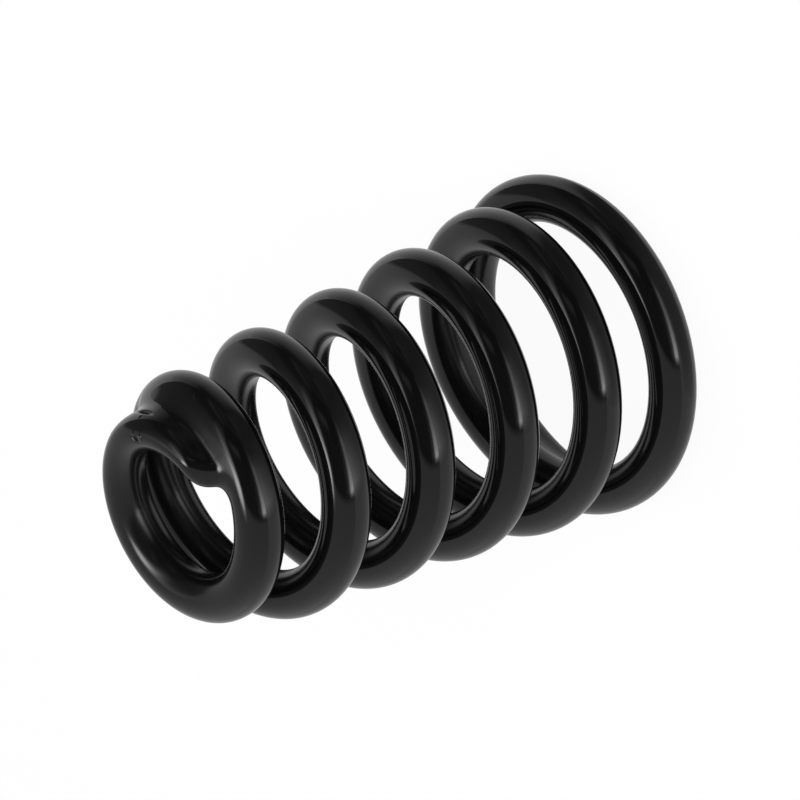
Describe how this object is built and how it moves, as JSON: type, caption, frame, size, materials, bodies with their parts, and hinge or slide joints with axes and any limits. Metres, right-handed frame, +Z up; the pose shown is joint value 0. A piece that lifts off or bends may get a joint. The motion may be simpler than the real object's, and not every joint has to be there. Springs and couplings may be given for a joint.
{
  "type": "conical compression spring",
  "caption": "Conical compression spring wound from one round coated steel wire, with a necked small end and closed ends tapered at the tips.",
  "frame": {"origin": "centre of the large end, on the coil axis, at the seat plane that the large end stands on", "axes": "+Z runs up the coil axis from the large end to the small end, and +X points from the axis to the wire's tip at the large end"},
  "size_m": [0.0673, 0.0671, 0.1053],
  "materials": {
    "coated_wire": "thick gloss black coating"
  },
  "bodies": {
    "root": {"spring": "coated_wire"}
  },
  "joints": []
}
